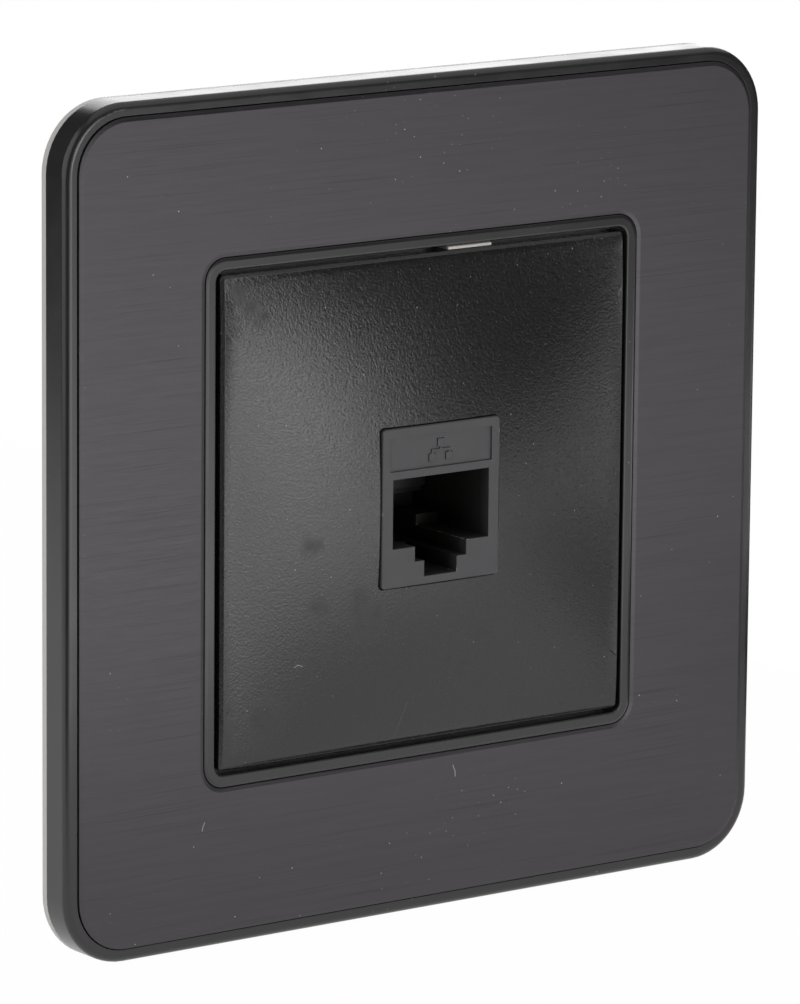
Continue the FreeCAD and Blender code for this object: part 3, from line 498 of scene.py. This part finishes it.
def satin_polycarbonate(finish):
    """Dark grey polycarbonate: satin with pale wear specks in front; behind the jack's face it is
    duller, and painted shade darkens it towards the inner mouldings' colour.
    """
    material, tree = new_material("satin_grey_polycarbonate")
    port_shade_start, port_shade_end, inner_dulling = 0.3 * MM, 1.5 * MM, 0.25
    rolled = soft_edges(tree, 0.1 * MM)
    facing = add_node(tree, "ShaderNodeNewGeometry")
    turn = add_node(tree, "ShaderNodeVectorMath", {0: rolled, 1: facing.outputs["Normal"]},
                    operation="DOT_PRODUCT")
    edge = add_node(tree, "ShaderNodeMapRange", {
        "Value": turn.outputs["Value"], "From Min": 0.99, "From Max": 0.95})
    worn = near_places(tree, front_plane(tree), WORN_SPOTS)
    chance = noise(tree, even(tree, 0.4 * MM), -0.6, 1.2)
    rubbed = maths(tree, "MULTIPLY", maths(tree, "MAXIMUM", chance, 0.0), worn)
    wear = maths(tree, "MULTIPLY", maths(tree, "MINIMUM", rubbed, 0.9), edge.outputs["Result"])
    pale = maths(tree, "MAXIMUM", wear, dust(tree, finish, 0.03))
    grain = noise(tree, even(tree, 0.12 * MM), 0, 1)
    place = add_node(tree, "ShaderNodeTexCoord")
    axes = add_node(tree, "ShaderNodeSeparateXYZ", {"Vector": place.outputs["Object"]})
    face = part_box("jack_housing")[0][1]
    # Painted shade: deeper than the jack's face the colour darkens, standing in for the shade in
    # the port
    port_shade = add_node(tree, "ShaderNodeMapRange", {
        "Value": axes.outputs["Y"], "From Min": face + port_shade_start,
        "From Max": face + port_shade_end})
    moulded_and_shaded = blend_colours(tree, port_shade.outputs["Result"], rgba(finish.jack_colour),
                            rgba(finish.inner_and_port_shade_colour))
    satin = noise(tree, even(tree, 1.2 * MM), 0.42, 0.5)
    finish_material(tree, {
        "Base Color": blend_colours(tree, pale, moulded_and_shaded, rgba(finish.dust_colour)),
        "Roughness": maths(tree, "MULTIPLY_ADD", port_shade.outputs["Result"], inner_dulling, satin),
        "IOR": POLYCARBONATE_IOR,
        "Normal": bump(tree, grain, 0.003 * MM, rolled),
    })
    return material


def plated(name, base_colour, roughness):
    """Bronze strip, stamped and plated: bright, with faint lines from rolling along Y."""
    material, tree = new_material(name)
    line_shade = 0.82
    lines = noise(tree, stretched(tree, 0.06 * MM, 4 * MM, 0.06 * MM), 0, 1, detail=2)
    shade = blend_colours(tree, lines, rgba(base_colour),
                          rgba([line_shade * channel for channel in base_colour]))
    finish_material(tree, {
        "Base Color": shade,
        "Metallic": 1.0,
        "Roughness": noise(tree, even(tree, 1.5 * MM), roughness - 0.06, roughness + 0.06),
        "Normal": bump(tree, lines, 0.001 * MM, soft_edges(tree, 0.05 * MM)),
    })
    return material


def masked_fibreglass(finish):
    """Glass-cloth board under a green solder mask: the weave shows faintly through the lacquer."""
    material, tree = new_material("green_masked_fibreglass")
    cloth = add_node(tree, "ShaderNodeTexChecker", {"Vector": even(tree, 0.8 * MM), "Scale": 1.0})
    weave = noise(tree, stretched(tree, 0.8 * MM, 0.8 * MM, 0.25 * MM), 0, 0.25)
    darker = [0.6 * channel for channel in finish.board_colour]
    finish_material(tree, {
        "Base Color": blend_colours(tree, weave, rgba(finish.board_colour), rgba(darker)),
        "Roughness": noise(tree, even(tree, 2 * MM), 0.25, 0.35),
        "IOR": LACQUER_IOR,
        "Normal": bump(tree, cloth.outputs["Fac"], 0.002 * MM, soft_edges(tree, 0.05 * MM)),
    })
    return material


def dress(material, *names):
    """Give CAD nodes a material."""
    for name in names:
        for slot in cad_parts[name].material_slots:
            slot.material = material


def extrude_piece(context, name, outline, push, edge, material):
    """A new piece: a flat outline pushed along a line, with rounded edges."""
    form = bmesh.new()
    end = form.faces.new([form.verts.new(corner) for corner in outline])
    grown = bmesh.ops.extrude_face_region(form, geom=[end])
    far = [item for item in grown["geom"] if isinstance(item, bmesh.types.BMVert)]
    bmesh.ops.translate(form, verts=far, vec=push)
    bmesh.ops.recalc_face_normals(form, faces=form.faces)
    mesh = bpy.data.meshes.new(name)
    form.to_mesh(mesh)
    form.free()
    mesh.materials.append(material)
    piece = bpy.data.objects.new(name, mesh)
    context.scene.collection.objects.link(piece)
    rounding = piece.modifiers.new("Rounded edges", "BEVEL")
    rounding.width = edge
    rounding.segments = 2
    return piece


class SOCKET_OT_plate(Operator):
    """Finish the polished frame and the pale base behind it, and add the base's catch"""
    bl_idname = "socket.plate"
    bl_label = "Frame and base"

    def execute(self, context):
        finish = context.scene.socket_finish
        dress(polished_abs(finish), "cover_frame")
        pale = plain_moulding("plain_pale_abs", finish.base_colour, 0.5, 0.3 * MM)
        dress(pale, "mounting_base")
        self.add_catch(context, pale)
        return {"FINISHED"}

    def add_catch(self, context, material):
        """A tongue of the base in the gap above the insert, with a nose to push the insert past."""
        size = context.scene.socket_catch
        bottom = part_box("insert")[1][2] + size.clearance
        top, nose = bottom + size.thickness, -size.reach
        profile = [(-size.root, bottom), (-size.root, top), (nose + size.slope, top),
                   (nose, top - size.slope / 3), (nose, bottom)]
        catch = extrude_piece(context, "base_catch", [(size.start, y, z) for y, z in profile],
                              (size.width, 0, 0), size.edge, material)
        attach(catch, "root")


class SOCKET_OT_panel(Operator):
    """Finish the brushed sheet"""
    bl_idname = "socket.panel"
    bl_label = "Brushed panel"

    def execute(self, context):
        dress(brushed_anodised(context.scene.socket_finish), "brushed_panel")
        return {"FINISHED"}


class SOCKET_OT_insert(Operator):
    """Swell the centre plate's crown to its soft form and finish it"""
    bl_idname = "socket.insert"
    bl_label = "Insert"

    def execute(self, context):
        plate = self.swell_crown(context.scene.socket_crown)
        context.scene.collection.objects.link(plate)
        plate.data.materials.append(grained_abs(context.scene.socket_finish))
        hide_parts("insert")
        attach(plate, "root")
        return {"FINISHED"}

    def swell_crown(self, crown):
        """A copy of the CAD plate whose four straight slopes give way to one shallow pillow."""
        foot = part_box("insert")[0][1] + crown.rise

        def on_crown(face):
            faces_front = face.normal.y < -0.9
            return faces_front and face.calc_center_median().y < foot

        def touches_crown(item):
            return any(on_crown(face) for face in item.link_faces)

        form = bmesh.new()
        form.from_mesh(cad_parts["insert"].data)
        bmesh.ops.remove_doubles(form, verts=form.verts, dist=WELD)
        slopes = [face for face in form.faces if on_crown(face)]
        bmesh.ops.delete(form, geom=slopes, context="FACES")
        rims = [line for line in form.edges if line.is_boundary]
        corners = [corner.co for line in rims for corner in line.verts]
        outermost = max(corners, key=lambda place: place.x)
        reach, rim = outermost.x, outermost.y
        bmesh.ops.triangle_fill(form, edges=rims, use_beauty=True, normal=(0, -1, 0))
        for _ in range(crown.passes):
            form.normal_update()
            coarse = [line for line in form.edges
                      if line.calc_length() > crown.mesh_size and touches_crown(line)]
            bmesh.ops.subdivide_edges(form, edges=coarse, cuts=1)
            bmesh.ops.remove_doubles(form, verts=form.verts, dist=WELD)
            form.normal_update()
            bmesh.ops.triangulate(form, faces=[face for face in form.faces if on_crown(face)])
        form.normal_update()
        inside_rim = 0.999
        for corner in [corner for corner in form.verts if touches_crown(corner)]:
            right, up = corner.co.x / reach, corner.co.z / reach
            if max(abs(right), abs(up)) < inside_rim:
                corner.co.y = rim - crown.height * (1 - right ** 2) * (1 - up ** 2)
        form.normal_update()
        for face in form.faces:
            face.smooth = True
        for line in form.edges:
            on_rim = len({on_crown(face) for face in line.link_faces}) == 2
            line.smooth = not on_rim and line.calc_face_angle(0) < SHARP_ANGLE
        mesh = bpy.data.meshes.new("crowned_insert")
        form.to_mesh(mesh)
        form.free()
        return bpy.data.objects.new("crowned_insert", mesh)


class SOCKET_OT_jack(Operator):
    """Finish the jack's housing, mould the symbol in its label window and finish its contacts"""
    bl_idname = "socket.jack"
    bl_label = "Jack"

    def execute(self, context):
        finish = context.scene.socket_finish
        satin = satin_polycarbonate(finish)
        dress(satin, "jack_housing")
        dress(plain_moulding("plain_black_nylon", finish.inner_and_port_shade_colour, 0.45, 0.15 * MM),
              "contact_carrier")
        dress(plated("gold_plated_bronze", finish.gold_colour, 0.25), *CONTACTS)
        self.mould_symbol(context, satin)
        return {"FINISHED"}

    def mould_symbol(self, context, material):
        """One raised outline: a box above two boxes, joined by lines."""
        size = context.scene.socket_symbol
        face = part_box("jack_housing")[0][1]
        box, half, line = size.box_size, size.box_size / 2, size.stroke / 2
        low = -size.gap / 2 - box
        high = size.gap / 2 + box
        out = size.box_spread
        right = [(half, high), (half, high - box), (line, high - box), (line, line),
                 (out + line, line), (out + line, low + box), (out + half, low + box),
                 (out + half, low), (out - half, low), (out - half, low + box),
                 (out - line, low + box), (out - line, -line)]
        outline = right + [(-x, z) for x, z in reversed(right)]
        floor = face + size.sink
        symbol = extrude_piece(context, "label_symbol",
                               [(x, floor, z + size.centre_height) for x, z in outline],
                               (0, -size.rise, 0), size.edge, material)
        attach(symbol, "root")


class SOCKET_OT_terminals(Operator):
    """Finish the board, the terminal block, its blades and its caps"""
    bl_idname = "socket.terminals"
    bl_label = "Terminals"

    def execute(self, context):
        finish = context.scene.socket_finish
        dress(masked_fibreglass(finish), "circuit_board")
        dress(plain_moulding("plain_black_polycarbonate", finish.inner_and_port_shade_colour, 0.4, 0.2 * MM),
              "terminal_block", "wire_cap_upper", "wire_cap_lower")
        dress(plated("tinned_bronze", finish.tin_colour, 0.35), *BLADES)
        return {"FINISHED"}


class SOCKET_OT_stage(Operator):
    """Lay the white paper and set up the cards, the lamps and the camera"""
    bl_idname = "socket.stage"
    bl_label = "Studio"

    def execute(self, context):
        stage = context.scene.socket_stage
        context.scene.view_settings.view_transform = "Standard"
        self.add_paper(context, stage)
        self.add_room(context, stage)
        for name, (middle, size) in CARDS.items():
            self.add_card(context, name, middle, size, getattr(stage, name))
        for name, (place, size) in LAMPS.items():
            self.add_lamp(context, name, place, size, getattr(stage, name))
        self.add_camera(context, stage)
        return {"FINISHED"}

    def add_paper(self, context, stage):
        """A sheet of paper on the floor, white to the eye and to reflections."""
        floor = CAD_BOX[0][2]
        mesh = bpy.data.meshes.new("paper_sheet")
        mesh.from_pydata([(x, y, floor) for x, y in PAPER], [], [range(len(PAPER))])
        paper_sheet = bpy.data.objects.new("paper_sheet", mesh)
        context.scene.collection.objects.link(paper_sheet)
        material, tree = new_material("white_paper")
        rays = add_node(tree, "ShaderNodeLightPath")
        seen = maths(tree, "MAXIMUM", rays.outputs["Is Camera Ray"], rays.outputs["Is Glossy Ray"])
        shown = maths(tree, "MAXIMUM", seen, rays.outputs["Is Transmission Ray"])
        share = maths(tree, "MULTIPLY", shown, stage.whiteness)
        paper = add_node(tree, "ShaderNodeBsdfDiffuse", {"Color": rgba(stage.floor_colour)})
        white = add_node(tree, "ShaderNodeEmission", {"Color": (1, 1, 1, 1), "Strength": 1.0})
        mixed = add_node(tree, "ShaderNodeMixShader", {
            0: share, 1: paper.outputs["BSDF"], 2: white.outputs["Emission"]})
        add_node(tree, "ShaderNodeOutputMaterial", {"Surface": mixed.outputs["Shader"]})
        mesh.materials.append(material)

    def add_room(self, context, stage):
        """Dim even light from the room, white where the camera looks past the paper."""
        world = bpy.data.worlds.new("studio_room")
        world.use_nodes = True
        tree = world.node_tree
        tree.nodes.clear()
        rays = add_node(tree, "ShaderNodeLightPath")
        radiance = add_node(tree, "ShaderNodeMapRange", {
            "Value": rays.outputs["Is Camera Ray"], "To Min": stage.room_light, "To Max": 1.0})
        room = add_node(tree, "ShaderNodeBackground", {
            "Color": (1, 1, 1, 1), "Strength": radiance.outputs["Result"]})
        add_node(tree, "ShaderNodeOutputWorld", {"Surface": room.outputs["Background"]})
        context.scene.world = world

    def add_lamp(self, context, name, place, size, radiance):
        """A square soft lamp that faces the socket."""
        light = bpy.data.lights.new(name, "AREA")
        light.size = size
        light.energy = radiance * math.pi * size ** 2
        lamp = bpy.data.objects.new(name, light)
        lamp.location = place
        lamp.rotation_euler = Vector(place).to_track_quat("Z", "Y").to_euler()
        context.scene.collection.objects.link(lamp)

    def add_card(self, context, name, middle, size, radiance):
        """A bright card that lies just above the floor and lights the socket from below."""
        light = bpy.data.lights.new(name, "AREA")
        light.shape = "RECTANGLE"
        light.size, light.size_y = size
        light.energy = radiance * math.pi * light.size * light.size_y
        card = bpy.data.objects.new(name, light)
        card.location = (*middle, CAD_BOX[0][2] + CARD_LIFT)
        card.rotation_euler = (math.pi, 0, 0)
        context.scene.collection.objects.link(card)

    def add_camera(self, context, stage):
        """A long lens at the photograph's viewing angle."""
        flat = math.cos(stage.elevation)
        back = Vector((math.sin(stage.azimuth) * flat, -math.cos(stage.azimuth) * flat,
                       math.sin(stage.elevation)))
        right = Vector((math.cos(stage.azimuth), math.sin(stage.azimuth), 0))
        axes = Matrix((right, back.cross(right), back)).transposed()
        turned = axes @ Matrix.Rotation(stage.roll, 3, "Z")
        lens = bpy.data.cameras.new("camera")
        lens.sensor_width = SENSOR
        lens.lens = stage.focal_pixels * SENSOR / max(IMAGE_SIZE)
        lens.clip_start = 0.01
        camera = bpy.data.objects.new("camera", lens)
        place = Vector(stage.target) + back * stage.distance
        camera.matrix_world = Matrix.Translation(place) @ turned.to_4x4()
        context.scene.collection.objects.link(camera)
        context.scene.camera = camera


OPERATORS = (SOCKET_OT_plate, SOCKET_OT_panel, SOCKET_OT_insert, SOCKET_OT_jack,
             SOCKET_OT_terminals, SOCKET_OT_stage)


class SOCKET_PT_sidebar(Panel):
    """The socket's steps in the order they run"""
    bl_idname = "SOCKET_PT_sidebar"
    bl_label = "Ethernet socket"
    bl_space_type = "VIEW_3D"
    bl_region_type = "UI"
    bl_category = "Socket"

    def draw(self, context):
        for operator in OPERATORS:
            self.layout.operator(operator.bl_idname)


SETTINGS = {
    "socket_finish": FinishSettings,
    "socket_catch": CatchSettings,
    "socket_crown": CrownSettings,
    "socket_symbol": SymbolSettings,
    "socket_stage": StageSettings,
}
CLASSES = (*SETTINGS.values(), *OPERATORS, SOCKET_PT_sidebar)


def register():
    """Make the settings, operators and panel known to Blender."""
    for item in CLASSES:
        bpy.utils.register_class(item)
    for name, settings in SETTINGS.items():
        setattr(bpy.types.Scene, name, PointerProperty(type=settings))


def unregister():
    """Take them away again."""
    for name in SETTINGS:
        delattr(bpy.types.Scene, name)
    for item in reversed(CLASSES):
        bpy.utils.unregister_class(item)


def main():
    """Dress the socket and build the studio."""
    register()
    for operator in OPERATORS:
        group, name = operator.bl_idname.split(".")
        getattr(getattr(bpy.ops, group), name)()


if __name__ == "__main__":
    main()
